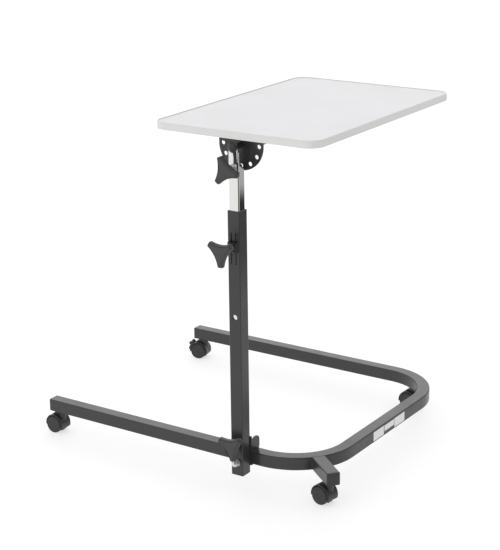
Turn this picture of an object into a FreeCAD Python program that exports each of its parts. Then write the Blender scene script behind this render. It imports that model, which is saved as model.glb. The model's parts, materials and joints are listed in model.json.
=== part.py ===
"""Overbed table on a U-shaped base with four casters, drawn in millimetres.

Layout coordinates: the mast stands at x = 0, the outer face of the near leg is y = 0 and the
floor is z = 0. The legs run towards -X, the closed end of the base is at +X and the far leg is
at +Y. Every sub-part is placed through frame_x and frame_y, which put the origin of the part on
the floor under the middle of the whole object.
"""
import FreeCAD, Part
import math
import os
import Sketcher
from FreeCAD import Vector
from types import SimpleNamespace

os.makedirs("parts", exist_ok=True)
doc = FreeCAD.newDocument("OverbedTable")

DIMENSIONS = (
    ("frame_x", 178.4, "mast axis, from the middle of the object"),
    ("frame_y", -274.1, "outer face of the near leg, from the middle of the object"),
    # base
    ("tube", 30.0, "base tube, outside"),
    ("tube_wall", 1.5, "wall of the base tube"),
    ("tube_radius", 2.5, "outside corner radius of the base tube"),
    ("base_bottom", 54.0, "floor to the underside of the base tube"),
    ("base_width", 635.0, "over both legs"),
    ("leg_reach", 568.0, "mast axis to the open leg ends"),
    ("end_reach", 187.0, "mast axis to the closed end"),
    ("bend_radius", 150.0, "outer radius of the base corners"),
    ("stub_angle", 38.5, "outrigger direction, degrees below +X"),
    ("stub_reach", 237.0, "corner centre to the end of the outrigger"),
    ("cap_plate", 3.0, "thickness of the end cap plates"),
    ("cap_depth", 12.0, "how far an end cap reaches into its tube"),
    ("cap_play", 0.1, "air between a cap's block and its tube, each side"),
    ("block_radius", 1.5, "corner radius inside a cap's block"),
    ("block_wall", 2.0, "wall of a cap's block"),
    ("slip", 0.05, "radial clearance of a running fit"),
    # mast
    ("mast", 30.4, "mast tube, outside"),
    ("mast_wall", 1.5, "wall of the mast"),
    ("mast_radius", 2.2, "outside corner radius of the mast"),
    ("mast_bottom", 41.0, "floor to the mast's lower end"),
    ("mast_length", 600.0, "length of the mast"),
    ("mast_gap", 6.0, "near leg to the back of the mast"),
    ("sight_hole", 12.5, "diameter of the cross hole"),
    ("sight_height", 407.0, "floor to the cross hole"),
    ("slot_low", 526.0, "floor to the lower end of the clamp slots"),
    ("slot_length", 70.0, "length of a clamp slot"),
    ("slot_width", 3.0, "width of a clamp slot"),
    ("slot_offset", 5.8, "mast axis to a clamp slot"),
    ("bush_length", 38.0, "depth of the guide bush"),
    ("bush_wall", 0.85, "wall of the guide bush"),
    ("bush_rim", 2.0, "rim of the guide bush above the mast"),
    ("clamp_height", 565.5, "floor to the height knob"),
    ("bridge_height", 22.0, "height of the clamp bridge"),
    ("bridge_width", 23.0, "width of the clamp bridge"),
    ("bridge_depth", 9.0, "how far the clamp bridge stands out"),
    ("sheet_steel", 3.0, "thickness of the pressed steel pieces"),
    # bracket and fasteners
    ("bracket_width", 36.4, "over the flanges of the mast bracket"),
    ("bracket_top", 123.0, "floor to the top of the bracket web"),
    ("ear_reach", 27.0, "how far the bracket ears reach over the leg"),
    ("ear_round", 12.0, "radius of a bracket ear's outer corner"),
    ("ear_drop", 5.0, "top of the web down to the top of the ears"),
    ("stud", 10.0, "diameter of the knob studs"),
    ("bolt", 8.0, "diameter of the bolts"),
    ("bolt_play", 0.3, "air round a bolt in a drilled hole"),
    ("stud_play", 0.5, "air round a stud in a drilled hole"),
    ("bolt_height", 68.0, "floor to the mast bolt"),
    ("mast_knob_height", 114.0, "floor to the mast knob"),
    ("nut_small", 13.0, "across the flats of an M8 nut"),
    ("nut_large", 17.0, "across the flats of an M10 nut"),
    ("acorn", 14.0, "across the flats of the acorn nut"),
    ("acorn_base", 6.5, "height of the acorn nut's hexagon"),
    ("weld_nut", 8.0, "thickness of the nut welded in the bracket"),
    ("clamp_nut", 7.0, "thickness of the nut on the clamp bridge"),
    ("tilt_nut", 6.0, "thickness of the nut on the post's head"),
    ("washer_steel", 1.6, "thickness of a washer"),
    # knobs
    ("knob_reach", 33.0, "knob axis to the end of a lobe"),
    ("lobe_radius", 6.0, "radius of a lobe's end"),
    ("side_radius", 75.0, "radius of the hollow side between lobes"),
    ("knob_thick", 14.0, "thickness of a knob"),
    ("knob_edge", 2.5, "rounding of the knob edges"),
    ("neck", 20.0, "diameter of the knob's neck"),
    ("neck_length", 6.0, "how far a knob's neck stands out behind it"),
    ("bite", 14.0, "how far a stud reaches into its knob"),
    ("mast_knob_plane", 58.0, "near leg to the middle of the mast knob"),
    ("height_knob_plane", 85.0, "near leg to the middle of the height knob"),
    ("tilt_knob_plane", 63.0, "near leg to the middle of the tilt knob"),
    # sliding post and tilt head
    ("post", 25.4, "post tube, outside"),
    ("post_wall", 1.5, "wall of the post"),
    ("post_radius", 4.0, "outside corner radius of the post"),
    ("post_bottom", 380.0, "floor to the post's lower end"),
    ("post_back_top", 727.0, "floor to the top of the post's back wall"),
    ("post_front_cut", 742.0, "floor to the top of the sloping cut"),
    ("post_shoulder", 769.0, "floor to the shoulders beside the pivot"),
    ("pivot_height", 780.0, "floor to the tilt pivot"),
    ("pivot_boss", 11.0, "radius of the rounded top of the post"),
    ("spacer", 13.0, "diameter of the pivot spacer"),
    ("dome", 23.0, "diameter of the pivot cap"),
    ("dome_height", 7.0, "height of the pivot cap"),
    ("plate_back", 0.5, "near leg face to the back of the tilt plate, towards the mast"),
    ("plate_radius", 55.0, "radius of the tilt plate"),
    ("index_radius", 45.0, "radius of the ring of index holes"),
    ("index_hole", 9.6, "diameter of an index hole, a loose fit on the stud tip"),
    ("stud_tip", 8.0, "diameter of the tilt stud's tip"),
    ("stud_gap", 0.5, "air left in front of a stud that is slackened"),
    # table top
    ("table_depth", 412.0, "table top along X"),
    ("table_width", 603.0, "table top along Y"),
    ("table_front", 41.5, "near leg to the table's front edge"),
    ("table_under", 799.5, "floor to the underside of the board"),
    ("table_thick", 14.0, "thickness of the board under the laminate"),
    ("laminate", 1.0, "thickness of the laminate"),
    ("lip_over", 1.0, "how far the lip covers the board inside the edge band"),
    ("edge_thick", 2.5, "thickness of the edge band"),
    ("edge_lip", 1.6, "how far the lip stands above the laminate"),
    ("table_radius", 34.0, "corner radius of the table top"),
    ("mount_depth", 120.0, "mounting plate along X"),
    ("mount_width", 220.0, "mounting plate along Y"),
    ("screw", 4.5, "diameter of a mounting screw"),
    ("screw_head", 9.0, "diameter of a mounting screw's head"),
    # casters
    ("wheel_radius", 21.0, "radius of a caster wheel"),
    ("wheel_width", 13.9, "width of a caster wheel"),
    ("wheel_inner", 5.6, "caster middle to the inner face of a wheel"),
    ("trail", 14.0, "stem to the axle"),
    ("wheel_edge", 1.6, "bevel at the edges of a wheel"),
    ("wheel_skin", 4.0, "outer face of a wheel to the end of its bore"),
    ("hood_low_front", -20.0, "where the hood ends under the stem, degrees round the axle"),
    ("hood_low_rear", 188.0, "where the hood ends behind the wheels"),
    ("hood_rise", 125.0, "where the hood leaves its circle towards its top"),
    ("neck_width", 18.0, "diameter of the boss round a stem, and width of the slope behind it"),
    ("boss_low", 32.0, "floor to the lower end of the boss"),
    ("hood_edge", 2.2, "rounding of the hood's side edges"),
    ("axle_end", 0.4, "air at each end of an axle"),
    ("spigot_low", 8.0, "axle height to the lower end of the stem's spigot"),
    ("brake_angle", 142.0, "where the brake lever is hung, degrees round the axle"),
    ("brake_reach", 29.5, "axle to the brake lever's pin"),
    ("brake_hub", 6.4, "diameter of the brake lever's hub"),
    ("brake_lug", 11.0, "diameter of the lugs that hold the lever"),
    ("brake_pin", 3.0, "diameter of the brake lever's pin"),
    ("brake_gap", 14.0, "room between the lugs"),
    ("lugs_width", 20.0, "over the two lugs"),
    ("flap_inner", 27.2, "axle to the inner face of the brake flap"),
    ("flap_outer", 29.4, "axle to the outer face of the brake flap"),
    ("flap_start", 157.0, "upper end of the flap's wide part, degrees round the axle"),
    ("flap_end", 178.0, "lower end of the flap, degrees round the axle"),
    ("flap_width", 24.0, "width of the brake flap"),
    ("axle", 6.0, "diameter of an axle"),
    ("hood_width", 35.0, "width of a caster hood"),
    ("hood_radius", 25.0, "outer radius of a caster hood"),
    ("hood_clear", 22.4, "inner radius of a caster hood"),
    ("hood_top", 52.6, "floor to the top of a hood"),
    ("web", 10.0, "thickness of the web between the wheels"),
    ("spigot", 6.0, "diameter of the stem in the hood"),
    ("stem_gap", 0.35, "air between a hood and its stem's collar"),
    ("stem", 10.0, "diameter of the stem in its socket"),
    ("collar", 16.0, "diameter of the collar on a stem"),
    ("socket", 14.0, "outer diameter of a stem socket"),
    ("leg_stem_inset", 22.0, "leg end to a stem"),
    ("far_stem_angle", 58.0, "place of the far corner's stem round the bend, degrees from +X"),
    ("far_leg_turn", 12.0, "how far the far leg's caster is swung round, degrees"),
    ("outrigger_turn", -8.5, "how far the outrigger's caster is swung round, degrees"),
    ("stub_stem_inset", 21.0, "outrigger end to its stem"),
)

sheet = doc.addObject("Spreadsheet::Sheet", "Sizes")
for row, (alias, value, note) in enumerate(DIMENSIONS, 1):
    sheet.set("A%d" % row, alias)
    sheet.set("B%d" % row, str(value))
    sheet.set("C%d" % row, note)
    sheet.setAlias("B%d" % row, alias)
doc.recompute()


class Size:
    """A number together with the sheet expression that gives it."""

    def __init__(self, value, text):
        self.value = value
        self.text = text

    def __add__(self, other):
        return Size(self.value + number(other), "(%s + %s)" % (self.text, words(other)))

    def __radd__(self, other):
        return self + other

    def __sub__(self, other):
        return Size(self.value - number(other), "(%s - %s)" % (self.text, words(other)))

    def __rsub__(self, other):
        return Size(number(other) - self.value, "(%s - %s)" % (words(other), self.text))

    def __mul__(self, other):
        return Size(self.value * number(other), "(%s * %s)" % (self.text, words(other)))

    def __rmul__(self, other):
        return self * other

    def __truediv__(self, other):
        return Size(self.value / number(other), "(%s / %s)" % (self.text, words(other)))

    def __neg__(self):
        return Size(-self.value, "(0 - %s)" % self.text)


def number(size):
    return size.value if isinstance(size, Size) else float(size)


def words(size):
    return size.text if isinstance(size, Size) else "(%r)" % float(size)


def cosine(angle):
    return Size(math.cos(math.radians(number(angle))), "cos(%s)" % words(angle))


def sine(angle):
    return Size(math.sin(math.radians(number(angle))), "sin(%s)" % words(angle))


def root(size):
    return Size(math.sqrt(size.value), "sqrt(%s)" % size.text)


S = SimpleNamespace(**{alias: Size(value, "Sizes." + alias) for alias, value, note in DIMENSIONS})

# ---------------------------------------------------------------- derived sizes

ORIGIN = Size(0.0, "0")
TUBE_MIDDLE = S.base_bottom + S.tube / 2
MAST_Y = -(S.mast_gap + S.mast / 2)
MAST_FRONT = -(S.mast_gap + S.mast)
MAST_TOP = S.mast_bottom + S.mast_length
POST_FRONT = MAST_Y - S.post / 2
POST_BACK = MAST_Y + S.post / 2
INDEX_HEIGHT = S.pivot_height - S.index_radius
CORNER_X = S.end_reach - S.bend_radius
NEAR_CORNER_Y = S.bend_radius
FAR_CORNER_Y = S.base_width - S.bend_radius
TABLE_MIDDLE_Y = S.table_width / 2 - S.table_front
MOUNT_UNDER = S.table_under - S.sheet_steel
AXLE = (-S.trail, S.wheel_radius)
STUD_BORE = S.stud + 2 * S.slip


# ---------------------------------------------------------------- drawing helpers

def bind(feature, prop, size):
    """Tie one property of a feature to the sheet."""
    feature.setExpression(prop, words(size))


def new_body(label, x=0.0, y=0.0, z=0.0, turn=0.0):
    """Start a sub-part whose own origin stands at a place in the layout."""
    body = doc.addObject("PartDesign::Body", label)
    body.Label = label
    bind(body, "Placement.Base.x", S.frame_x + x)
    bind(body, "Placement.Base.y", S.frame_y + y)
    bind(body, "Placement.Base.z", ORIGIN + z)
    if number(turn):
        upright = FreeCAD.Rotation(Vector(0, 0, 1), number(turn))
        body.Placement = FreeCAD.Placement(Vector(), upright)
        bind(body, "Placement.Rotation.Angle", turn)
    return body


def new_sketch(body, role, offset=0.0):
    """Attach a sketch to one of the body's planes, moved along the plane's normal."""
    sketch = body.newObject("Sketcher::SketchObject", body.Label + "_sketch")
    plane = [item for item in body.Origin.OriginFeatures if item.Role == role][0]
    sketch.AttachmentSupport = [(plane, "")]
    sketch.MapMode = "FlatFace"
    bind(sketch, "AttachmentOffset.Base.z", offset)
    return sketch


def constrain(sketch, kind, where, size):
    row = sketch.addConstraint(Sketcher.Constraint(kind, *where, number(size)))
    sketch.setExpression("Constraints[%d]" % row, words(size))


def outline(sketch, vertices, arcs=None):
    """Draw a closed outline. arcs maps a side's index to (centre, radius, anticlockwise).

    The vertices hold the ends of an arc, and the centre is held across the arc's chord.
    """
    arcs = arcs or {}
    count = len(vertices)
    ends = []
    for index, (start, end) in enumerate(zip(vertices, vertices[1:] + vertices[:1])):
        first = Vector(number(start[0]), number(start[1]), 0)
        last = Vector(number(end[0]), number(end[1]), 0)
        if index in arcs:
            (centre_x, centre_y), radius, anticlockwise = arcs[index]
            centre = Vector(number(centre_x), number(centre_y), 0)
            low, high = (first, last) if anticlockwise else (last, first)
            from_angle = math.atan2(low.y - centre.y, low.x - centre.x)
            to_angle = math.atan2(high.y - centre.y, high.x - centre.x)
            circle = Part.Circle(centre, Vector(0, 0, 1), number(radius))
            side = sketch.addGeometry(Part.ArcOfCircle(circle, from_angle, to_angle), False)
            ends.append((side, 1, 2) if anticlockwise else (side, 2, 1))
        else:
            side = sketch.addGeometry(Part.LineSegment(first, last), False)
            ends.append((side, 1, 2))
    for index, (side, start, end) in enumerate(ends):
        following = ends[(index + 1) % count]
        meet = Sketcher.Constraint("Coincident", side, end, following[0], following[1])
        sketch.addConstraint(meet)
        constrain(sketch, "DistanceX", (-1, 1, side, start), vertices[index][0])
        constrain(sketch, "DistanceY", (-1, 1, side, start), vertices[index][1])
        if index in arcs:
            centre = arcs[index][0]
            away = vertices[(index + 1) % count]
            chord = [abs(number(away[axis]) - number(vertices[index][axis])) for axis in (0, 1)]
            across = 1 if chord[0] >= chord[1] else 0
            constrain(sketch, ("DistanceX", "DistanceY")[across], (-1, 1, side, 3), centre[across])


def rectangle(sketch, x0, x1, y0, y1, radius=None):
    """Draw a rectangle, with round corners where a radius is given."""
    if radius is None:
        outline(sketch, [(x0, y0), (x1, y0), (x1, y1), (x0, y1)])
        return
    vertices = [(x0 + radius, y0), (x1 - radius, y0), (x1, y0 + radius), (x1, y1 - radius),
                (x1 - radius, y1), (x0 + radius, y1), (x0, y1 - radius), (x0, y0 + radius)]
    centres = [(x1 - radius, y0 + radius), (x1 - radius, y1 - radius),
               (x0 + radius, y1 - radius), (x0 + radius, y0 + radius)]
    arcs = {2 * corner + 1: (centre, radius, True) for corner, centre in enumerate(centres)}
    outline(sketch, vertices, arcs)


def square(sketch, side, radius, x=ORIGIN, y=ORIGIN):
    """Draw a square with round corners about a point."""
    rectangle(sketch, x - side / 2, x + side / 2, y - side / 2, y + side / 2, radius)


def disc(sketch, x, y, diameter):
    """Draw a circle."""
    centre = Vector(number(x), number(y), 0)
    circle = sketch.addGeometry(Part.Circle(centre, Vector(0, 0, 1), number(diameter) / 2), False)
    constrain(sketch, "DistanceX", (-1, 1, circle, 3), x)
    constrain(sketch, "DistanceY", (-1, 1, circle, 3), y)
    constrain(sketch, "Radius", (circle,), diameter / 2)


def hexagon(sketch, flats, x=ORIGIN, y=ORIGIN):
    """Draw a hexagon by the distance across its flats."""
    corner = flats / 2 / cosine(30)
    outline(sketch, [(x + corner * cosine(60 * side), y + corner * sine(60 * side)) for side in range(6)])


def pad(body, sketch, length, middle=False, reverse=False):
    """Extrude a sketch along the normal of its plane."""
    feature = body.newObject("PartDesign::Pad", body.Label + "_pad")
    feature.Profile = sketch
    feature.SideType = "Symmetric" if middle else "One side"
    feature.Reversed = reverse
    bind(feature, "Length", length)
    body.Tip = feature
    return feature


def pocket(body, sketch, length, middle=False, reverse=False):
    """Cut a sketch out of the body, and make sure that it took something away."""
    doc.recompute()
    before = body.Shape.Volume
    feature = body.newObject("PartDesign::Pocket", body.Label + "_pocket")
    feature.Profile = sketch
    feature.SideType = "Symmetric" if middle else "One side"
    feature.Reversed = reverse
    bind(feature, "Length", length)
    body.Tip = feature
    doc.recompute()
    if body.Shape.Volume > before - 0.01:
        raise RuntimeError("a pocket of %s cut nothing" % body.Label)
    return feature


def revolve(body, sketch, axis):
    """Turn a sketch round its own H_Axis or V_Axis."""
    feature = body.newObject("PartDesign::Revolution", body.Label + "_revolution")
    feature.Profile = sketch
    feature.ReferenceAxis = (sketch, [axis])
    feature.Angle = 360.0
    body.Tip = feature
    return feature


def soften(body, radius, chosen):
    """Round the edges that the test chosen(edge) picks, in the body's own coordinates."""
    doc.recompute()
    solid = body.Tip
    names = ["Edge%d" % (index + 1) for index, edge in enumerate(solid.Shape.Edges) if chosen(edge)]
    feature = body.newObject("PartDesign::Fillet", body.Label + "_fillet")
    feature.Base = (solid, names)
    bind(feature, "Radius", radius)
    body.Tip = feature
    return feature


def washer(label, outer, inner, thick, y, z):
    """Make a flat ring on the mast's middle plane, whose front face is at y."""
    body = new_body(label, ORIGIN, y, z)
    sketch = new_sketch(body, "XZ_Plane")
    disc(sketch, ORIGIN, ORIGIN, outer)
    disc(sketch, ORIGIN, ORIGIN, inner)
    pad(body, sketch, thick, reverse=True)
    return body


def nut(label, flats, bore, thick, y, z):
    """Make a hexagon nut on the mast's middle plane, whose front face is at y."""
    body = new_body(label, ORIGIN, y, z)
    sketch = new_sketch(body, "XZ_Plane")
    hexagon(sketch, flats)
    disc(sketch, ORIGIN, ORIGIN, bore)
    pad(body, sketch, thick, reverse=True)
    return body


def stepped_pin(label, steps, y, z, x=ORIGIN, turn=0.0):
    """Make a round pin along +Y from a list of (diameter, length) steps, starting at y."""
    body = new_body(label, x, y, z, turn)
    at = ORIGIN
    for diameter, length in steps:
        sketch = new_sketch(body, "XZ_Plane", -at)
        disc(sketch, ORIGIN, ORIGIN, diameter)
        pad(body, sketch, length, reverse=True)
        at = at + length
    return body


# ---------------------------------------------------------------- base

def base_frame():
    """The U of square tube: two legs, two round corners and the closed end."""
    body = new_body("base_frame", ORIGIN, ORIGIN, TUBE_MIDDLE)
    path = new_sketch(body, "XY_Plane")
    centre = S.bend_radius - S.tube / 2
    near = S.tube / 2
    far = S.base_width - S.tube / 2
    end = S.end_reach - S.tube / 2
    points = [(-S.leg_reach, near), (CORNER_X, near), (end, NEAR_CORNER_Y),
              (end, FAR_CORNER_Y), (CORNER_X, far), (-S.leg_reach, far)]
    vectors = [Vector(number(x), number(y), 0) for x, y in points]
    leg = path.addGeometry(Part.LineSegment(vectors[0], vectors[1]), False)
    up = Vector(0, 0, 1)
    near_circle = Part.Circle(Vector(number(CORNER_X), number(NEAR_CORNER_Y), 0), up, number(centre))
    near_arc = path.addGeometry(Part.ArcOfCircle(near_circle, -math.pi / 2, 0.0), False)
    closed = path.addGeometry(Part.LineSegment(vectors[2], vectors[3]), False)
    far_circle = Part.Circle(Vector(number(CORNER_X), number(FAR_CORNER_Y), 0), up, number(centre))
    far_arc = path.addGeometry(Part.ArcOfCircle(far_circle, 0.0, math.pi / 2), False)
    back = path.addGeometry(Part.LineSegment(vectors[4], vectors[5]), False)
    chain = [leg, near_arc, closed, far_arc, back]
    for first, second in zip(chain, chain[1:]):
        path.addConstraint(Sketcher.Constraint("Coincident", first, 2, second, 1))
    for side, (x, y) in zip(chain, points):
        constrain(path, "DistanceX", (-1, 1, side, 1), x)
        constrain(path, "DistanceY", (-1, 1, side, 1), y)
    constrain(path, "DistanceX", (-1, 1, back, 2), points[5][0])
    constrain(path, "DistanceY", (-1, 1, back, 2), points[5][1])
    constrain(path, "Radius", (near_arc,), centre)
    constrain(path, "Radius", (far_arc,), centre)
    profile = new_sketch(body, "YZ_Plane", -S.leg_reach)
    square(profile, S.tube, S.tube_radius, x=near)
    square(profile, S.tube - 2 * S.tube_wall, S.tube_radius - S.tube_wall, x=near)
    sweep = body.newObject("PartDesign::AdditivePipe", "base_frame_sweep")
    sweep.Profile = profile
    sweep.Spine = (path, ["Edge%d" % (side + 1) for side in range(5)])
    body.Tip = sweep
    bolt_hole = new_sketch(body, "XZ_Plane")
    disc(bolt_hole, ORIGIN, S.bolt_height - TUBE_MIDDLE, S.bolt + 2 * S.bolt_play)
    pocket(body, bolt_hole, S.tube * 2)
    stems = new_sketch(body, "XY_Plane", -S.tube)
    for x, y in leg_stem_places() + [far_stem_place()]:
        disc(stems, x, y, S.socket + 2 * S.slip)
    pocket(body, stems, S.tube / 2 + S.tube_wall * 2, reverse=True)
    return body


def leg_stem_places():
    """Stem places of the two casters under the leg ends."""
    x = S.leg_stem_inset - S.leg_reach
    return [(x, S.tube / 2), (x, S.base_width - S.tube / 2)]


def far_stem_place():
    """Stem place of the caster under the far corner, partway round the bend."""
    reach = S.bend_radius - S.tube / 2
    return (CORNER_X + reach * cosine(S.far_stem_angle), FAR_CORNER_Y + reach * sine(S.far_stem_angle))


def stub_stem_place():
    """Stem place of the caster under the outrigger."""
    reach = S.stub_reach - S.stub_stem_inset
    return (CORNER_X + reach * cosine(S.stub_angle), NEAR_CORNER_Y - reach * sine(S.stub_angle))


def outrigger_tube():
    """The short tube that is welded to the near corner and carries the fourth caster."""
    body = new_body("outrigger_tube", CORNER_X, NEAR_CORNER_Y, TUBE_MIDDLE, turn=-S.stub_angle)
    root = S.bend_radius - S.tube / 2
    profile = new_sketch(body, "YZ_Plane", root)
    square(profile, S.tube, S.tube_radius)
    square(profile, S.tube - 2 * S.tube_wall, S.tube_radius - S.tube_wall)
    pad(body, profile, S.stub_reach - root)
    saddle = new_sketch(body, "XY_Plane")
    disc(saddle, ORIGIN, ORIGIN, S.bend_radius * 2)
    pocket(body, saddle, S.tube * 2, middle=True)
    stem = new_sketch(body, "XY_Plane", -S.tube)
    disc(stem, S.stub_reach - S.stub_stem_inset, ORIGIN, S.socket + 2 * S.slip)
    pocket(body, stem, S.tube / 2 + S.tube_wall * 2, reverse=True)
    return body


def end_cap(label, side, inside, radius, places, turn=0.0, plane="YZ_Plane", outwards=1):
    """A plug with a plate outside a square tube and a hollow block inside it."""
    x, y, z = places
    body = new_body(label, x, y, z, turn)
    plate = new_sketch(body, plane)
    square(plate, side, radius)
    pad(body, plate, S.cap_plate, reverse=outwards < 0)
    block = new_sketch(body, plane)
    square(block, inside, radius)
    square(block, inside - 2 * S.block_wall, S.block_radius)
    pad(body, block, S.cap_depth, reverse=outwards > 0)
    return body


def base_caps():
    """The plugs in the two leg ends, the outrigger and the foot of the mast."""
    inside = S.tube - 2 * S.tube_wall - 2 * S.cap_play
    for label, y in (("leg_cap_near", S.tube / 2), ("leg_cap_far", S.base_width - S.tube / 2)):
        place = (-S.leg_reach, y, TUBE_MIDDLE)
        end_cap(label, S.tube, inside, S.tube_radius, place, outwards=-1)
    stub_x = CORNER_X + S.stub_reach * cosine(S.stub_angle)
    stub_y = NEAR_CORNER_Y - S.stub_reach * sine(S.stub_angle)
    place = (stub_x, stub_y, TUBE_MIDDLE)
    end_cap("outrigger_cap", S.tube, inside, S.tube_radius, place, turn=-S.stub_angle)
    mast_inside = S.mast - 2 * S.mast_wall - 2 * S.cap_play
    end_cap("mast_foot_cap", S.mast, mast_inside, S.mast_radius, (ORIGIN, MAST_Y, S.mast_bottom),
            plane="XY_Plane", outwards=-1)


def mast_bracket():
    """The welded channel behind the mast: a web, and two flanges with ears over the leg."""
    body = new_body("mast_bracket", ORIGIN, ORIGIN, S.base_bottom)
    side = new_sketch(body, "YZ_Plane")
    web_top = S.bracket_top - S.base_bottom
    front = -S.mast_gap
    ear_top = web_top - S.ear_drop
    outline(side, [(front, ORIGIN), (ORIGIN, ORIGIN), (ORIGIN, S.tube), (S.ear_reach - 3, S.tube),
                   (S.ear_reach, S.tube + 8), (S.ear_reach, ear_top - S.ear_round),
                   (S.ear_reach - S.ear_round, ear_top), (ORIGIN + 8, ear_top), (ORIGIN + 1, ear_top - 4),
                   (front + S.sheet_steel, ear_top - 4), (front + S.sheet_steel, web_top), (front, web_top)],
            {5: ((S.ear_reach - S.ear_round, ear_top - S.ear_round), S.ear_round, True)})
    pad(body, side, S.bracket_width, middle=True)
    channel = new_sketch(body, "YZ_Plane")
    rectangle(channel, front + S.sheet_steel, S.ear_reach * 2, -S.sheet_steel, web_top * 2)
    pocket(body, channel, S.bracket_width - 2 * S.sheet_steel, middle=True)
    holes = new_sketch(body, "XZ_Plane")
    disc(holes, ORIGIN, S.bolt_height - S.base_bottom, S.bolt + 2 * S.bolt_play)
    disc(holes, ORIGIN, S.mast_knob_height - S.base_bottom, S.stud + 2 * S.stud_play)
    pocket(body, holes, S.mast_gap * 4, middle=True)
    return body


def mast_tube():
    """The upright square tube with its bolt, knob, sight and slot cut-outs."""
    body = new_body("mast_tube", ORIGIN, MAST_Y, S.mast_bottom)
    profile = new_sketch(body, "XY_Plane")
    square(profile, S.mast, S.mast_radius)
    square(profile, S.mast - 2 * S.mast_wall, S.mast_radius - S.mast_wall)
    pad(body, profile, S.mast_length)
    cross = new_sketch(body, "XZ_Plane")
    disc(cross, ORIGIN, S.bolt_height - S.mast_bottom, S.bolt + 2 * S.bolt_play)
    disc(cross, ORIGIN, S.mast_knob_height - S.mast_bottom, S.stud + 2 * S.stud_play)
    disc(cross, ORIGIN, S.sight_height - S.mast_bottom, S.sight_hole)
    pocket(body, cross, S.mast * 2, middle=True)
    slots = new_sketch(body, "XZ_Plane", S.mast / 2 - S.mast_wall * 1.5)
    low = S.slot_low - S.mast_bottom
    for side in (-1, 1):
        middle = S.slot_offset * side
        rectangle(slots, middle - S.slot_width / 2, middle + S.slot_width / 2, low, low + S.slot_length)
    pocket(body, slots, S.mast_wall * 3, reverse=True)
    return body


def mast_guide_bush():
    """The plastic sleeve in the top of the mast that the post runs in."""
    body = new_body("mast_guide_bush", ORIGIN, MAST_Y, MAST_TOP)
    inside = S.post + 2 * S.slip * 2
    outside = inside + 2 * S.bush_wall
    sleeve = new_sketch(body, "XY_Plane")
    square(sleeve, outside, S.post_radius)
    square(sleeve, inside, S.post_radius)
    pad(body, sleeve, S.bush_length, reverse=True)
    rim = new_sketch(body, "XY_Plane")
    square(rim, S.mast, S.mast_radius)
    square(rim, inside, S.post_radius)
    pad(body, rim, S.bush_rim)
    return body


def clamp_bridge():
    """The bent strap over the slotted tongue of the mast, which holds the clamp nut."""
    body = new_body("clamp_bridge", ORIGIN, MAST_FRONT, S.clamp_height)
    hat = new_sketch(body, "XY_Plane")
    half = S.bridge_width / 2
    skin = S.sheet_steel
    outline(hat, [(-half, ORIGIN), (-half, -S.bridge_depth + 2), (-half + 2, -S.bridge_depth),
                  (half - 2, -S.bridge_depth), (half, -S.bridge_depth + 2), (half, ORIGIN),
                  (half - skin, ORIGIN), (half - skin, skin - S.bridge_depth),
                  (skin - half, skin - S.bridge_depth), (skin - half, ORIGIN)])
    pad(body, hat, S.bridge_height, middle=True)
    hole = new_sketch(body, "XZ_Plane")
    disc(hole, ORIGIN, ORIGIN, STUD_BORE)
    pocket(body, hole, S.bridge_depth * 3, middle=True)
    return body


def caster_sockets():
    """The four sleeves in the base tube that take the caster stems."""
    group = []
    for x, y in leg_stem_places() + [far_stem_place(), stub_stem_place()]:
        sleeve = doc.addObject("Part::Cylinder", "socket_sleeve")
        bore = doc.addObject("Part::Cylinder", "socket_bore")
        ring = doc.addObject("Part::Cut", "socket_ring")
        ring.Base = sleeve
        ring.Tool = bore
        for shape, diameter in ((sleeve, S.socket), (bore, S.stem + 2 * S.slip)):
            bind(shape, "Radius", diameter / 2)
            bind(shape, "Height", S.tube - S.tube_wall)
            bind(shape, "Placement.Base.x", S.frame_x + x)
            bind(shape, "Placement.Base.y", S.frame_y + y)
            bind(shape, "Placement.Base.z", S.base_bottom)
        group.append(ring)
    return gather("caster_sockets", group)


def caster_stems():
    """The four steel stems: a spigot for the hood, a collar and a pin for the socket."""
    group = []
    low_end = S.wheel_radius + S.spigot_low
    collar_low = S.hood_top + S.stem_gap
    steps = ((S.spigot, low_end, collar_low - low_end),
             (S.collar, collar_low, S.base_bottom - collar_low),
             (S.stem, S.base_bottom, S.tube - S.tube_wall * 2))
    for x, y in leg_stem_places() + [far_stem_place(), stub_stem_place()]:
        sections = []
        for diameter, low, height in steps:
            section = doc.addObject("Part::Cylinder", "stem_section")
            bind(section, "Radius", diameter / 2)
            bind(section, "Height", height)
            bind(section, "Placement.Base.x", S.frame_x + x)
            bind(section, "Placement.Base.y", S.frame_y + y)
            bind(section, "Placement.Base.z", low)
            sections.append(section)
        stem = doc.addObject("Part::MultiFuse", "stem")
        stem.Shapes = sections
        group.append(stem)
    return gather("caster_stems", group)


def gather(label, members):
    """Put several separate solids in one sub-part."""
    group = doc.addObject("Part::Compound", label)
    group.Label = label
    group.Links = members
    return group


def blank_labels():
    """Three plain stickers without text on the outside of the closed end."""
    group = []
    spans = ((245.0, 48.0, 22.0, 0.0), (296.0, 46.0, 14.0, 3.0), (344.0, 49.0, 22.0, 0.0))
    for start, length, height, raised in spans:
        sticker = doc.addObject("Part::Box", "sticker")
        sticker.Length = 0.2
        sticker.Width = length
        sticker.Height = height
        bind(sticker, "Placement.Base.x", S.frame_x + S.end_reach)
        bind(sticker, "Placement.Base.y", S.frame_y + start)
        bind(sticker, "Placement.Base.z", TUBE_MIDDLE - height / 2 + raised)
        group.append(sticker)
    return gather("blank_labels", group)


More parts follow.
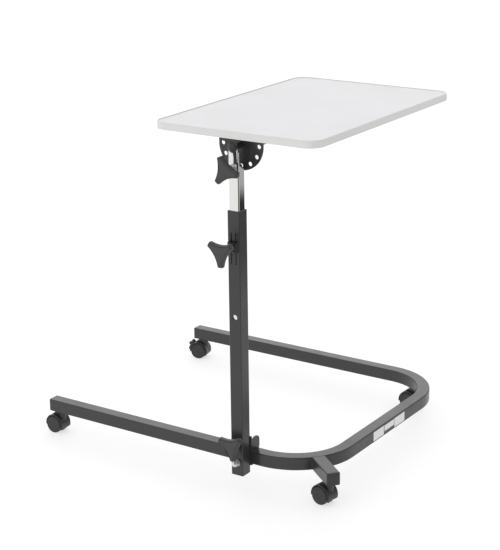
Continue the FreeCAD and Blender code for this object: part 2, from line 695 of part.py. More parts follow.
def mast_fasteners():
    """The bolt at the mast's foot with its nut and washers, and the welded knob nuts."""
    back = S.tube + S.washer_steel
    front = MAST_FRONT - S.washer_steel
    shank = back - front + 8
    stepped_pin("mast_bolt", ((S.bolt, shank), (S.acorn, ORIGIN + 5.3)), front - 8, S.bolt_height)
    acorn_nut(front)
    rings = []
    for y in (front, S.tube):
        ring = doc.addObject("Part::Cylinder", "washer_ring")
        bore = doc.addObject("Part::Cylinder", "washer_bore")
        cut = doc.addObject("Part::Cut", "washer_cut")
        cut.Base = ring
        cut.Tool = bore
        for shape, diameter in ((ring, S.bolt * 2.1), (bore, S.bolt + 2 * S.slip)):
            shape.Placement = FreeCAD.Placement(Vector(), FreeCAD.Rotation(Vector(1, 0, 0), -90))
            bind(shape, "Radius", diameter / 2)
            bind(shape, "Height", S.washer_steel)
            bind(shape, "Placement.Base.x", S.frame_x)
            bind(shape, "Placement.Base.y", S.frame_y + y)
            bind(shape, "Placement.Base.z", S.bolt_height)
        rings.append(cut)
    gather("mast_bolt_washers", rings)
    bridge_front = MAST_FRONT - S.bridge_depth
    washer_front = POST_FRONT - S.washer_steel
    for label, thick, y, z in (
            ("bracket_weld_nut", S.weld_nut, S.sheet_steel - S.mast_gap, S.mast_knob_height),
            ("clamp_nut", S.clamp_nut, bridge_front - S.clamp_nut, S.clamp_height),
            ("tilt_nut", S.tilt_nut, washer_front - S.tilt_nut, INDEX_HEIGHT)):
        nut(label, S.nut_large, STUD_BORE, thick, y, z)
    washer("tilt_washer", S.nut_large + 3, STUD_BORE, S.washer_steel, washer_front, INDEX_HEIGHT)


def acorn_nut(front):
    """The domed nut on the front of the mast bolt."""
    body = new_body("acorn_nut", ORIGIN, front, S.bolt_height)
    hexagonal = new_sketch(body, "XZ_Plane")
    hexagon(hexagonal, S.acorn)
    pad(body, hexagonal, S.acorn_base)
    dome = new_sketch(body, "XY_Plane")
    radius = S.acorn / 2 - 0.4
    spring = -S.acorn_base - 1.5
    outline(dome, [(ORIGIN, 0.5 - S.acorn_base), (radius, 0.5 - S.acorn_base), (radius, spring),
                   (ORIGIN, spring - radius)],
            {2: ((ORIGIN, spring), radius, False)})
    revolve(body, dome, "V_Axis")
    bore = new_sketch(body, "XZ_Plane")
    disc(bore, ORIGIN, ORIGIN, S.bolt + 2 * S.slip)
    pocket(body, bore, ORIGIN + 8.05, reverse=True)
    return body


# ---------------------------------------------------------------- knobs

def knob(label, plane, height, first_lobe):
    """A three-lobed hand knob whose middle plane is y = -plane, with a neck behind it."""
    body = new_body(label, ORIGIN, -plane, height)
    star = new_sketch(body, "XZ_Plane")
    centre = S.knob_reach - S.lobe_radius
    touch = S.side_radius + S.lobe_radius
    side_centre = (centre + root(4 * touch * touch - 3 * centre * centre)) / 2
    vertices = []
    arcs = {}
    for lobe in range(3):
        angle = first_lobe + 120 * lobe
        tip = (centre * cosine(angle), centre * sine(angle))
        hollows = [(side_centre * cosine(angle + turn), side_centre * sine(angle + turn))
                   for turn in (-60, 60)]
        for hollow in hollows:
            vertices.append(tuple((tip[axis] * S.side_radius + hollow[axis] * S.lobe_radius) / touch
                                  for axis in (0, 1)))
        arcs[2 * lobe] = (tip, S.lobe_radius, True)
        arcs[2 * lobe + 1] = (hollows[1], S.side_radius, False)
    outline(star, vertices, arcs)
    pad(body, star, S.knob_thick, middle=True)
    soften(body, S.knob_edge, lambda edge: abs(edge.BoundBox.YLength) < 0.01)
    neck = new_sketch(body, "XZ_Plane", -S.knob_thick / 2 + 1)
    disc(neck, ORIGIN, ORIGIN, S.neck)
    pad(body, neck, S.neck_length + 1, reverse=True)
    hole = new_sketch(body, "XZ_Plane", -S.knob_thick / 2 - S.neck_length)
    disc(hole, ORIGIN, ORIGIN, STUD_BORE)
    pocket(body, hole, S.bite + S.stud_gap, reverse=True)
    return body


def knobs():
    """The three hand knobs and their threaded studs."""
    stud_start = S.knob_thick / 2 + S.neck_length - S.bite
    for label, plane, height, lobe in (("mast_knob", S.mast_knob_plane, S.mast_knob_height, 40.0),
                                       ("height_knob", S.height_knob_plane, S.clamp_height, 31.0),
                                       ("tilt_knob", S.tilt_knob_plane, INDEX_HEIGHT, 112.0)):
        knob(label, plane, height, lobe)
    back_of_mast_nut = S.sheet_steel - S.mast_gap + S.weld_nut
    mast_stud_start = stud_start - S.mast_knob_plane
    stepped_pin("mast_knob_stud", ((S.stud, back_of_mast_nut + 4 - mast_stud_start),), mast_stud_start,
                S.mast_knob_height)
    height_stud_start = stud_start - S.height_knob_plane
    stepped_pin("height_knob_stud", ((S.stud, MAST_FRONT - S.stud_gap - height_stud_start),),
                height_stud_start, S.clamp_height)
    tilt_stud_start = stud_start - S.tilt_knob_plane
    tip_end = -(S.plate_back + S.sheet_steel + S.stud_gap)
    thread_end = POST_BACK - 6
    steps = ((S.stud, thread_end - tilt_stud_start), (S.stud_tip, tip_end - thread_end))
    stepped_pin("tilt_knob_stud", steps, tilt_stud_start, INDEX_HEIGHT)


# ---------------------------------------------------------------- post and tilt head

def post_tube():
    """The bright sliding post: a square tube below, an open-backed channel above."""
    body = new_body("post_tube", ORIGIN, MAST_Y, S.post_bottom)
    profile = new_sketch(body, "XY_Plane")
    square(profile, S.post, S.post_radius)
    square(profile, S.post - 2 * S.post_wall, S.post_radius - S.post_wall)
    pad(body, profile, S.pivot_height + S.pivot_boss - S.post_bottom)
    back_cut = new_sketch(body, "YZ_Plane")
    half = S.post / 2
    back_top = S.post_back_top - S.post_bottom
    front_top = S.post_front_cut - S.post_bottom
    above = S.pivot_height - S.post_bottom + 40
    outline(back_cut, [(half + 1, back_top), (half + 1, above), (10 - half, above), (10 - half, front_top)])
    pocket(body, back_cut, S.post * 2, middle=True)
    shoulders = new_sketch(body, "YZ_Plane")
    shoulder = S.post_shoulder - S.post_bottom
    outline(shoulders, [(S.post_wall - half, shoulder + 2), (11 - half, shoulder - 6),
                        (11 - half, above), (S.post_wall - half, above)])
    pocket(body, shoulders, S.post * 2, middle=True)
    crown = new_sketch(body, "XZ_Plane")
    pivot = S.pivot_height - S.post_bottom
    outline(crown, [(-S.post, pivot), (-S.pivot_boss, pivot), (S.pivot_boss, pivot), (S.post, pivot),
                    (S.post, above), (-S.post, above)],
            {1: ((ORIGIN, pivot), S.pivot_boss, False)})
    pocket(body, crown, S.post * 2, middle=True)
    holes = new_sketch(body, "XZ_Plane", S.post / 2 - 4)
    disc(holes, ORIGIN, INDEX_HEIGHT - S.post_bottom, S.stud + 2 * S.stud_play)
    disc(holes, ORIGIN, pivot, S.bolt + 2 * S.slip)
    pocket(body, holes, ORIGIN + 12, reverse=True)
    return body


def post_head():
    """The pivot bolt, its spacer, cap and nut, and the plug in the foot of the post."""
    inside = S.post - 2 * S.post_wall - 2 * S.cap_play
    end_cap("post_foot_plug", S.post, inside, S.post_radius, (ORIGIN, MAST_Y, S.post_bottom),
            plane="XY_Plane", outwards=-1)
    plate_front = -(S.plate_back + S.sheet_steel)
    plate_rear = -S.plate_back
    inner_wall = POST_FRONT + S.post_wall
    head_start = POST_FRONT - 4
    stepped_pin("pivot_bolt", ((S.bolt + 5, ORIGIN + 4), (S.bolt, plate_rear + 12 - POST_FRONT)),
                head_start, S.pivot_height)
    bore = S.bolt + 2 * S.slip
    washer("pivot_spacer", S.spacer, bore, plate_front - S.stem_gap - inner_wall, inner_wall, S.pivot_height)
    nut("pivot_nut", S.nut_small, bore, ORIGIN + 8, plate_rear + S.stud_gap, S.pivot_height)
    body = new_body("pivot_cap", ORIGIN, POST_FRONT, S.pivot_height)
    dome = new_sketch(body, "XY_Plane")
    rim = S.dome / 2
    hollow = (S.bolt + 5) / 2 + 0.1
    crest = (rim * rim / S.dome_height + S.dome_height) / 2
    outline(dome, [(hollow, ORIGIN), (rim, ORIGIN), (rim, ORIGIN - 1.5), (ORIGIN, -S.dome_height - 1.5),
                   (ORIGIN, ORIGIN - 4.2), (hollow, ORIGIN - 4.2)],
            {2: ((ORIGIN, crest - S.dome_height - 1.5), crest, False)})
    revolve(body, dome, "V_Axis")


# ---------------------------------------------------------------- table top

def tilt_plate():
    """The half-moon plate with its ring of index holes, up to the mounting plate."""
    body = new_body("tilt_plate", ORIGIN, -S.plate_back, S.pivot_height)
    moon = new_sketch(body, "XZ_Plane")
    rise = MOUNT_UNDER - S.pivot_height
    outline(moon, [(-S.plate_radius, ORIGIN), (S.plate_radius, ORIGIN), (S.plate_radius, rise),
                   (-S.plate_radius, rise)], {0: ((ORIGIN, ORIGIN), S.plate_radius, True)})
    disc(moon, ORIGIN, ORIGIN, S.bolt + 2 * S.slip)
    pad(body, moon, S.sheet_steel)
    hole = new_sketch(body, "XZ_Plane")
    disc(hole, S.index_radius, ORIGIN, S.index_hole)
    first = pocket(body, hole, S.sheet_steel * 3, middle=True)
    ring = body.newObject("PartDesign::PolarPattern", "tilt_plate_ring")
    ring.Originals = [first]
    ring.Axis = (hole, ["N_Axis"])
    ring.Reversed = True
    ring.Angle = 180.0
    ring.Occurrences = 7
    body.Tip = ring
    return body


def mounting_plate():
    """The flat plate under the board, with two stiffening flanges and six screw holes."""
    body = new_body("mounting_plate", ORIGIN, -S.plate_back, S.table_under)
    flat = new_sketch(body, "XY_Plane")
    half = S.mount_depth / 2
    rectangle(flat, -half, half, -S.sheet_steel, S.mount_width, ORIGIN + 3)
    for x, y in screw_places():
        disc(flat, x, y + S.plate_back, S.screw + 2 * S.bolt_play)
    pad(body, flat, S.sheet_steel, reverse=True)
    for side in (-1, 1):
        rib = new_sketch(body, "YZ_Plane", (half - 14) * side)
        outline(rib, [(ORIGIN, -S.sheet_steel), (ORIGIN, -S.sheet_steel - 14),
                      (ORIGIN + 20, -S.sheet_steel - 14), (S.mount_width - 20, -S.sheet_steel - 4),
                      (S.mount_width - 20, -S.sheet_steel)])
        pad(body, rib, S.sheet_steel, middle=True)
    return body


def screw_places():
    """The six screws that hold the mounting plate to the board."""
    return [((S.mount_depth / 2 - 28) * side, S.mount_width * share)
            for share in (0.1, 0.5, 0.9) for side in (-1, 1)]


def mounting_screws():
    """Six pan-head screws from below into the board."""
    group = []
    for x, y in screw_places():
        shank = doc.addObject("Part::Cylinder", "screw_shank")
        head = doc.addObject("Part::Cylinder", "screw_head")
        for shape, diameter, low, height in ((shank, S.screw, MOUNT_UNDER, S.sheet_steel + 9),
                                             (head, S.screw_head, MOUNT_UNDER - 2.5, ORIGIN + 2.5)):
            bind(shape, "Radius", diameter / 2)
            bind(shape, "Height", height)
            bind(shape, "Placement.Base.x", S.frame_x + x)
            bind(shape, "Placement.Base.y", S.frame_y + y)
            bind(shape, "Placement.Base.z", low)
        screw = doc.addObject("Part::Fuse", "screw")
        screw.Base = shank
        screw.Tool = head
        group.append(screw)
    return gather("mounting_screws", group)


def table_outline(sketch, inset):
    """Draw the table top's rounded outline, moved in from the outer edge."""
    across = S.table_depth / 2 - inset
    along = S.table_width / 2 - inset
    rectangle(sketch, -across, across, -along, along, S.table_radius - inset)


def table_top():
    """The board, the laminate on it and the edge band round both."""
    body = new_body("table_board", ORIGIN, TABLE_MIDDLE_Y, S.table_under)
    board = new_sketch(body, "XY_Plane")
    table_outline(board, S.edge_thick)
    for x, y in screw_places():
        disc(board, x, y - TABLE_MIDDLE_Y, S.screw)
    pad(body, board, S.table_thick)
    body = new_body("top_laminate", ORIGIN, TABLE_MIDDLE_Y, S.table_under + S.table_thick)
    skin = new_sketch(body, "XY_Plane")
    table_outline(skin, S.edge_thick + S.lip_over)
    pad(body, skin, S.laminate)
    body = new_body("edge_band", ORIGIN, TABLE_MIDDLE_Y, S.table_under)
    band = new_sketch(body, "XY_Plane")
    table_outline(band, ORIGIN)
    table_outline(band, S.edge_thick)
    pad(body, band, S.table_thick)
    lip = new_sketch(body, "XY_Plane", S.table_thick)
    table_outline(lip, ORIGIN)
    table_outline(lip, S.edge_thick + S.lip_over)
    pad(body, lip, S.laminate + S.edge_lip)


# ---------------------------------------------------------------- casters

def swung(place, turn, along, across):
    """A point beside a stem, given along and across a caster that is swung round by turn."""
    x, y = place
    return (x + along * cosine(turn) - across * sine(turn), y + along * sine(turn) + across * cosine(turn))


def round_axle(reach, angle):
    """A point in a caster's middle plane, by its distance and direction from the axle."""
    return (AXLE[0] + reach * cosine(angle), AXLE[1] + reach * sine(angle))


def caster_hood(label, place, turn, braked):
    """A hood that arches over both wheels, with a web between them and a stem bore."""
    body = new_body(label, *place, turn=turn)
    arch = new_sketch(body, "XZ_Plane")
    outline(arch, [round_axle(S.hood_radius, S.hood_low_front), round_axle(S.hood_radius, S.hood_low_rear),
                   round_axle(S.hood_clear, S.hood_low_rear), round_axle(S.hood_clear, S.hood_low_front)],
            {0: (AXLE, S.hood_radius, True), 2: (AXLE, S.hood_clear, False)})
    pad(body, arch, S.hood_width, middle=True)
    soften(body, S.hood_edge, is_hood_rim)
    hood_neck(body)
    web = new_sketch(body, "XZ_Plane")
    disc(web, AXLE[0], AXLE[1], S.hood_clear * 2 + 0.4)
    pad(body, web, S.web, middle=True)
    trim = new_sketch(body, "XZ_Plane")
    rectangle(trim, -S.hood_radius * 2, S.hood_radius * 2, -S.hood_radius, ORIGIN + 4)
    pocket(body, trim, S.hood_width, middle=True)
    bores = new_sketch(body, "XZ_Plane")
    disc(bores, *AXLE, S.axle + 2 * S.slip)
    if braked:
        brake_lugs(body)
        disc(bores, *brake_pivot(), S.brake_pin + 2 * S.slip)
    pocket(body, bores, S.hood_width * 2, middle=True)
    stem = new_sketch(body, "XY_Plane", S.hood_top)
    disc(stem, ORIGIN, ORIGIN, S.spigot + 2 * S.slip)
    pocket(body, stem, S.hood_top - S.wheel_radius - S.spigot_low + S.stem_gap)
    return body


def hood_neck(body):
    """The boss round the stem and the slope behind it, kept out of the wheels' room."""
    boss = new_sketch(body, "XY_Plane", S.hood_top)
    disc(boss, ORIGIN, ORIGIN, S.neck_width)
    pad(body, boss, S.hood_top - S.boss_low, reverse=True)
    slope = new_sketch(body, "XZ_Plane")
    rise = (S.hood_radius - (S.hood_top - S.wheel_radius) * sine(S.hood_rise)) / cosine(S.hood_rise)
    outline(slope, [round_axle(S.hood_radius, S.hood_rise), round_axle(S.hood_clear, S.hood_rise),
                    (ORIGIN, S.boss_low), (ORIGIN, S.hood_top), (AXLE[0] + rise, S.hood_top)])
    pad(body, slope, S.neck_width, middle=True)
    room = new_sketch(body, "XZ_Plane")
    disc(room, *AXLE, S.hood_clear * 2 + S.slip)
    pocket(body, room, S.hood_width, middle=True)


def is_hood_rim(edge):
    """Whether an edge of a plain hood lies in a side face, outside the wheels' room."""
    box = edge.BoundBox
    if box.YLength > 0.01:
        return False
    middle = edge.valueAt((edge.FirstParameter + edge.LastParameter) / 2)
    away = math.hypot(middle.x - number(AXLE[0]), middle.z - number(AXLE[1]))
    return away > number(S.hood_radius) - 0.01


def brake_pivot():
    """The brake lever's pin behind the hood, from the stem."""
    return round_axle(S.brake_reach, S.brake_angle)


def brake_lugs(body):
    """Two lugs behind a hood, with room between them for the lever's hub."""
    lug = new_sketch(body, "XZ_Plane")
    disc(lug, *brake_pivot(), S.brake_lug)
    pad(body, lug, S.lugs_width, middle=True)
    gap = new_sketch(body, "XZ_Plane")
    spread = 18
    inner = S.hood_radius / cosine(spread)
    outer = S.brake_reach + S.brake_lug
    outline(gap, [round_axle(inner, S.brake_angle + spread), round_axle(inner, S.brake_angle - spread),
                  round_axle(outer, S.brake_angle - spread), round_axle(outer, S.brake_angle + spread)])
    pocket(body, gap, S.brake_gap, middle=True)


def brake_lever(label, place, turn):
    """A lever, drawn pressed down: a hub, its pin and a curved flap."""
    pivot = brake_pivot()
    x, y = swung(place, turn, pivot[0], ORIGIN)
    body = new_body(label, x, y, pivot[1], turn)
    axle = (AXLE[0] - pivot[0], AXLE[1] - pivot[1])

    def spot(reach, angle):
        return (axle[0] + reach * cosine(angle), axle[1] + reach * sine(angle))

    for start, width in ((S.brake_angle, S.brake_gap - 1), (S.flap_start, S.flap_width)):
        flap = new_sketch(body, "XZ_Plane")
        outline(flap, [spot(S.flap_inner, start), spot(S.flap_outer, start),
                       spot(S.flap_outer, S.flap_end), spot(S.flap_inner, S.flap_end)],
                {1: (axle, S.flap_outer, True), 3: (axle, S.flap_inner, False)})
        pad(body, flap, width, middle=True)
    for diameter, length in ((S.brake_hub, S.brake_gap - 1), (S.brake_pin, S.lugs_width)):
        round_part = new_sketch(body, "XZ_Plane")
        disc(round_part, ORIGIN, ORIGIN, diameter)
        pad(body, round_part, length, middle=True)
    return body


def caster_wheel(label, place, turn, side):
    """One wheel of a pair: a bevelled tread, a closed outer face and a blind bore."""
    x, y = swung(place, turn, AXLE[0], (S.wheel_inner + S.wheel_width / 2) * side)
    body = new_body(label, x, y, S.wheel_radius, turn)
    profile = new_sketch(body, "YZ_Plane")
    half = S.wheel_width / 2
    bore = S.axle / 2 + S.slip
    rim = S.wheel_radius - S.wheel_edge
    tread = half - S.wheel_edge
    end = half - S.wheel_skin
    outline(profile, [(-half * side, bore), (end * side, bore), (end * side, ORIGIN), (half * side, ORIGIN),
                      (half * side, rim), (tread * side, S.wheel_radius), (-tread * side, S.wheel_radius),
                      (-half * side, rim)])
    revolve(body, profile, "H_Axis")
    return body


def casters():
    """Four hooded twin-wheel casters, the far leg's with a brake lever."""
    near_leg, far_leg = leg_stem_places()
    straight = 0.0
    length = 2 * (S.wheel_inner + S.wheel_width - S.wheel_skin - S.axle_end)
    for name, place, turn in (("near_leg", near_leg, straight), ("far_leg", far_leg, S.far_leg_turn),
                              ("far_corner", far_stem_place(), straight),
                              ("outrigger", stub_stem_place(), S.outrigger_turn)):
        braked = name == "far_leg"
        caster_hood(name + "_caster_hood", place, turn, braked)
        x, y = swung(place, turn, AXLE[0], -length / 2)
        stepped_pin(name + "_caster_axle", ((S.axle, length),), y, S.wheel_radius, x, turn)
        for side, word in ((-1, "wheel_front"), (1, "wheel_rear")):
            caster_wheel("%s_%s" % (name, word), place, turn, side)
        if braked:
            brake_lever(name + "_brake_lever", place, turn)


# ---------------------------------------------------------------- build and export

def main():
    base_frame()
    outrigger_tube()
    base_caps()
    mast_bracket()
    mast_tube()
    mast_guide_bush()
    clamp_bridge()
    caster_sockets()
    caster_stems()
    blank_labels()
    mast_fasteners()
    knobs()
    post_tube()
    post_head()
    tilt_plate()
    mounting_plate()
    mounting_screws()
    table_top()
    casters()
    doc.recompute()
    export()


def sub_parts():
    """The objects that are pieces of the table: bodies and the groups of loose solids."""
    return [item for item in doc.Objects if item.TypeId in ("PartDesign::Body", "Part::Compound")]


def export():
    """Check every object and every sub-part, then write one STEP file for each."""
    for item in doc.Objects:
        if "Invalid" in item.State or "Error" in item.State:
            raise RuntimeError("%s is %s" % (item.Label, item.State))
    whole = FreeCAD.BoundBox()
    for item in sub_parts():
        shape = item.Shape
        if shape.isNull() or not shape.isValid() or not shape.Solids:
            raise RuntimeError("%s has no valid solid" % item.Label)
        shape.exportStep("parts/%s.step" % item.Label)
        whole.add(shape.optimalBoundingBox(False))
        print("%-28s %d solid(s) %12.1f mm3" % (item.Label, len(shape.Solids), shape.Volume))
    print("%d sub-parts" % len(sub_parts()))
    limits = (whole.XMin, whole.XMax, whole.YMin, whole.YMax, whole.ZMin, whole.ZMax)
    print("box x %.2f %.2f  y %.2f %.2f  z %.2f %.2f" % limits)


main()
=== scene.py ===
"""Looks of the overbed table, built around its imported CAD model.

Places are in metres. A piece is drawn in millimetres round its own middle and scaled as it is placed.
"""
import json
import math

import bmesh
import bpy
from mathutils import Matrix, Vector


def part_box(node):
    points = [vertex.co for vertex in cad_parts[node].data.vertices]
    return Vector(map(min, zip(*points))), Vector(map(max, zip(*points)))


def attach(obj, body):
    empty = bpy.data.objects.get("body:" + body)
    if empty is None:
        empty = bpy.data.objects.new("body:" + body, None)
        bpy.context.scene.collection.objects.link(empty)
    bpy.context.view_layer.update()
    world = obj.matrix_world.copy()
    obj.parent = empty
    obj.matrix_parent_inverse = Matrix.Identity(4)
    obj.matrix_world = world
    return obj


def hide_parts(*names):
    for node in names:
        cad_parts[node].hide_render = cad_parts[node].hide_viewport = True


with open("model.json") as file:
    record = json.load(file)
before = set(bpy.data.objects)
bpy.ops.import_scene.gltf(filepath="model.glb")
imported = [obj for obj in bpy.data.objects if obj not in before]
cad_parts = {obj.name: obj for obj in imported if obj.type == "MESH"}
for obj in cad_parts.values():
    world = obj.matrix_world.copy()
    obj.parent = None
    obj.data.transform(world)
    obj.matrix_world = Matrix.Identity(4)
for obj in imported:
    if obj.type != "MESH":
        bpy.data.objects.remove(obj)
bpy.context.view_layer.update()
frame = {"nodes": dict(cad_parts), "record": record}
scene = bpy.context.scene
MM = 0.001
WHITE = (1.0, 1.0, 1.0, 1.0)
mast_low, mast_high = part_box("mast_tube")
MAST_X = (mast_low[0] + mast_high[0]) / 2
LEG_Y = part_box("base_frame")[0][1]


def spot(x, y, z):
    """A place measured in millimetres from the mast's axis, the near leg's outer face and the floor."""
    return Vector((MAST_X + x * MM, LEG_Y + y * MM, z * MM))


# ---------------------------------------------------------------- camera

def make_camera():
    """A long lens at the mast's corner of the table, a little above the table top."""
    data = bpy.data.cameras.new("camera")
    data.lens = 103.09
    data.sensor_width = 36.0
    data.shift_x = 0.0569
    data.shift_y = -0.0043
    data.clip_end = 50.0
    camera = bpy.data.objects.new("camera", data)
    camera.location = spot(1797.4, -2676.8, 1514.8)
    camera.rotation_euler = [math.radians(angle) for angle in (72.5175, 1.039, 34.5018)]
    scene.collection.objects.link(camera)
    scene.camera = camera


# ---------------------------------------------------------------- materials

def new_material(name, color, rough, metal=0.0):
    """A Principled material. Even values go straight on the shader's sockets."""
    material = bpy.data.materials.new(name)
    material.use_nodes = True
    shader = material.node_tree.nodes["Principled BSDF"]
    shader.inputs["Base Color"].default_value = (*color, 1.0)
    shader.inputs["Roughness"].default_value = rough
    shader.inputs["Metallic"].default_value = metal
    material.diffuse_color = (*color, 1.0)
    return material, shader


def noise(material, scale, detail=3.0, stretch=(1.0, 1.0, 1.0)):
    """A noise pattern in the object's own coordinates: scale is in features per metre."""
    tree = material.node_tree
    place = tree.nodes.new("ShaderNodeTexCoord")
    mapping = tree.nodes.new("ShaderNodeMapping")
    mapping.inputs["Scale"].default_value = stretch
    texture = tree.nodes.new("ShaderNodeTexNoise")
    texture.inputs["Scale"].default_value = scale
    texture.inputs["Detail"].default_value = detail
    tree.links.new(place.outputs["Object"], mapping.inputs["Vector"])
    tree.links.new(mapping.outputs["Vector"], texture.inputs["Vector"])
    return texture.outputs["Fac"]


def spread(material, source, low, high, start=0.3, end=0.7):
    """Turn a 0 to 1 pattern into a value between low and high."""
    tree = material.node_tree
    node = tree.nodes.new("ShaderNodeMapRange")
    node.inputs["From Min"].default_value = start
    node.inputs["From Max"].default_value = end
    node.inputs["To Min"].default_value = low
    node.inputs["To Max"].default_value = high
    tree.links.new(source, node.inputs["Value"])
    return node.outputs["Result"]


def blend_colors(material, source, first, second):
    """Mix two colours by a 0 to 1 pattern."""
    tree = material.node_tree
    node = tree.nodes.new("ShaderNodeMix")
    node.data_type = "RGBA"
    node.inputs["A"].default_value = (*first, 1.0)
    node.inputs["B"].default_value = (*second, 1.0)
    tree.links.new(source, node.inputs["Factor"])
    return node.outputs["Result"]


def bump(material, source, depth, strength=1.0, under=None):
    """A bump whose full height is depth metres, on top of another bump if one is given."""
    tree = material.node_tree
    node = tree.nodes.new("ShaderNodeBump")
    node.inputs["Strength"].default_value = strength
    node.inputs["Distance"].default_value = depth
    tree.links.new(source, node.inputs["Height"])
    if under is not None:
        tree.links.new(under, node.inputs["Normal"])
    return node.outputs["Normal"]


def link(material, source, shader, socket):
    """Feed a pattern into one of the shader's sockets."""
    material.node_tree.links.new(source, shader.inputs[socket])


def powder_coat():
    """Semi-gloss black powder coat: a fine orange peel over a slow ripple."""
    material, shader = new_material("powder_coat", (0.027, 0.027, 0.029), 0.30)
    peel = noise(material, 900.0, 2.0)
    ripple = noise(material, 160.0, 2.0)
    normal = bump(material, ripple, 0.00012, 0.35)
    link(material, bump(material, peel, 0.00006, 0.5, normal), shader, "Normal")
    link(material, spread(material, noise(material, 22.0, 4.0), 0.25, 0.36), shader, "Roughness")
    tone = blend_colors(material, noise(material, 9.0, 3.0), (0.024, 0.024, 0.026), (0.031, 0.031, 0.033))
    link(material, tone, shader, "Base Color")
    return material


def chrome():
    """Bright chrome with faint wiping marks."""
    material, shader = new_material("chrome", (0.74, 0.74, 0.72), 0.06, metal=1.0)
    wipes = noise(material, 60.0, 4.0, stretch=(1.0, 1.0, 0.08))
    link(material, spread(material, wipes, 0.05, 0.08), shader, "Roughness")
    link(material, bump(material, noise(material, 30.0, 1.0), 0.00002, 0.12), shader, "Normal")
    return material


def zinc():
    """Bright zinc plate, slightly cloudy."""
    material, shader = new_material("zinc", (0.66, 0.67, 0.68), 0.28, metal=1.0)
    clouds = noise(material, 350.0, 4.0)
    link(material, spread(material, clouds, 0.20, 0.40), shader, "Roughness")
    tone = blend_colors(material, noise(material, 120.0, 3.0), (0.58, 0.59, 0.60), (0.76, 0.76, 0.75))
    link(material, tone, shader, "Base Color")
    return material


def moulded(name, color, rough, grain=1400.0, depth=0.00008):
    """Moulded plastic with a fine spark-eroded grain and a little uneven sheen."""
    material, shader = new_material(name, color, rough)
    darker = [channel * 0.86 for channel in color]
    lighter = [min(1.0, channel * 1.12) for channel in color]
    tone = blend_colors(material, noise(material, 45.0, 4.0), darker, lighter)
    link(material, tone, shader, "Base Color")
    link(material, bump(material, noise(material, grain, 3.0), depth, 0.5), shader, "Normal")
    sheen = spread(material, noise(material, 70.0, 3.0), rough - 0.06, rough + 0.07)
    link(material, sheen, shader, "Roughness")
    return material


def laminate():
    """White pressure laminate with a fine suede texture."""
    material, shader = new_material("laminate", (0.71, 0.71, 0.725), 0.45)
    suede = noise(material, 2600.0, 2.0)
    link(material, bump(material, suede, 0.00005, 0.35), shader, "Normal")
    link(material, spread(material, noise(material, 14.0, 4.0), 0.42, 0.50), shader, "Roughness")
    tone = blend_colors(material, noise(material, 400.0, 5.0), (0.70, 0.70, 0.715), (0.72, 0.72, 0.735))
    link(material, tone, shader, "Base Color")
    return material


def edge_plastic():
    """Pale grey extruded edge band with faint draw lines along its length."""
    material, shader = new_material("edge_plastic", (0.70, 0.70, 0.685), 0.38)
    lines = noise(material, 30.0, 3.0, stretch=(1.0, 1.0, 60.0))
    link(material, bump(material, lines, 0.00005, 0.3), shader, "Normal")
    link(material, spread(material, noise(material, 30.0, 3.0), 0.32, 0.46), shader, "Roughness")
    tone = blend_colors(material, noise(material, 18.0, 4.0), (0.69, 0.69, 0.675), (0.72, 0.72, 0.705))
    link(material, tone, shader, "Base Color")
    return material


def backing():
    """The board's underside: a matte off-white backing sheet with paper fibres."""
    material, shader = new_material("backing", (0.62, 0.60, 0.56), 0.6)
    fibres = noise(material, 500.0, 5.0, stretch=(1.0, 0.25, 1.0))
    tone = blend_colors(material, fibres, (0.56, 0.54, 0.50), (0.68, 0.66, 0.62))
    link(material, tone, shader, "Base Color")
    link(material, bump(material, fibres, 0.00008, 0.4), shader, "Normal")
    return material


def film():
    """Plain white label film."""
    material, shader = new_material("film", (0.80, 0.80, 0.80), 0.45)
    wrinkle = noise(material, 90.0, 2.0)
    link(material, bump(material, wrinkle, 0.0001, 0.3), shader, "Normal")
    tone = blend_colors(material, noise(material, 60.0, 3.0), (0.76, 0.76, 0.76), (0.82, 0.82, 0.82))
    link(material, tone, shader, "Base Color")
    return material


BLACK = (0.022, 0.022, 0.024)
MATERIALS = {
    "black_frame": powder_coat(),
    "bright_post": chrome(),
    "zinc_steel": zinc(),
    "axle_steel": zinc(),
    "black_plastic": moulded("black_plastic", BLACK, 0.42),
    "knob_plastic": moulded("knob_plastic", (0.041, 0.041, 0.043), 0.47, grain=1100.0, depth=0.00012),
    "caster_plastic": moulded("caster_plastic", BLACK, 0.38),
    "wheel_plastic": moulded("wheel_plastic", (0.020, 0.020, 0.023), 0.45),
    "brake_plastic": moulded("brake_plastic", BLACK, 0.40),
    "white_laminate": laminate(),
    "edge_plastic": edge_plastic(),
    "board_core": backing(),
    "label_film": film(),
}


def paint(piece, slot):
    """Give a piece the material of a record slot, and no other."""
    piece.data.materials.clear()
    piece.data.materials.append(MATERIALS[slot])


def paint_cad_nodes():
    """Give every CAD node the material of its record slot."""
    for part in frame["record"]["subparts"]:
        paint(frame["nodes"][part["node"]], part["material_slot"])


# ---------------------------------------------------------------- piece helpers

def skin(rings, loop=False, into=None):
    """Join rings of points with faces: into a closed loop, or with a face at each end."""
    bm = into or bmesh.new()
    rows = [[bm.verts.new(point) for point in ring] for ring in rings]
    pairs = list(zip(rows, rows[1:]))
    if loop:
        pairs.append((rows[-1], rows[0]))
    for low, high in pairs:
        for index in range(len(low)):
            beside = (index + 1) % len(low)
            bm.faces.new((low[index], low[beside], high[beside], high[index]))
    if not loop:
        for end in (rows[0], rows[-1]):
            bmesh.ops.triangulate(bm, faces=[bm.faces.new(end)])
    bmesh.ops.recalc_face_normals(bm, faces=bm.faces)
    return bm


def circle(along, radius, count=48):
    """A ring of points round the Y axis, in millimetres. The radius may depend on the angle."""
    ring = []
    for index in range(count):
        angle = 2 * math.pi * index / count
        reach = radius(angle) if callable(radius) else radius
        ring.append(Vector((reach * math.cos(angle), along, reach * math.sin(angle))))
    return ring


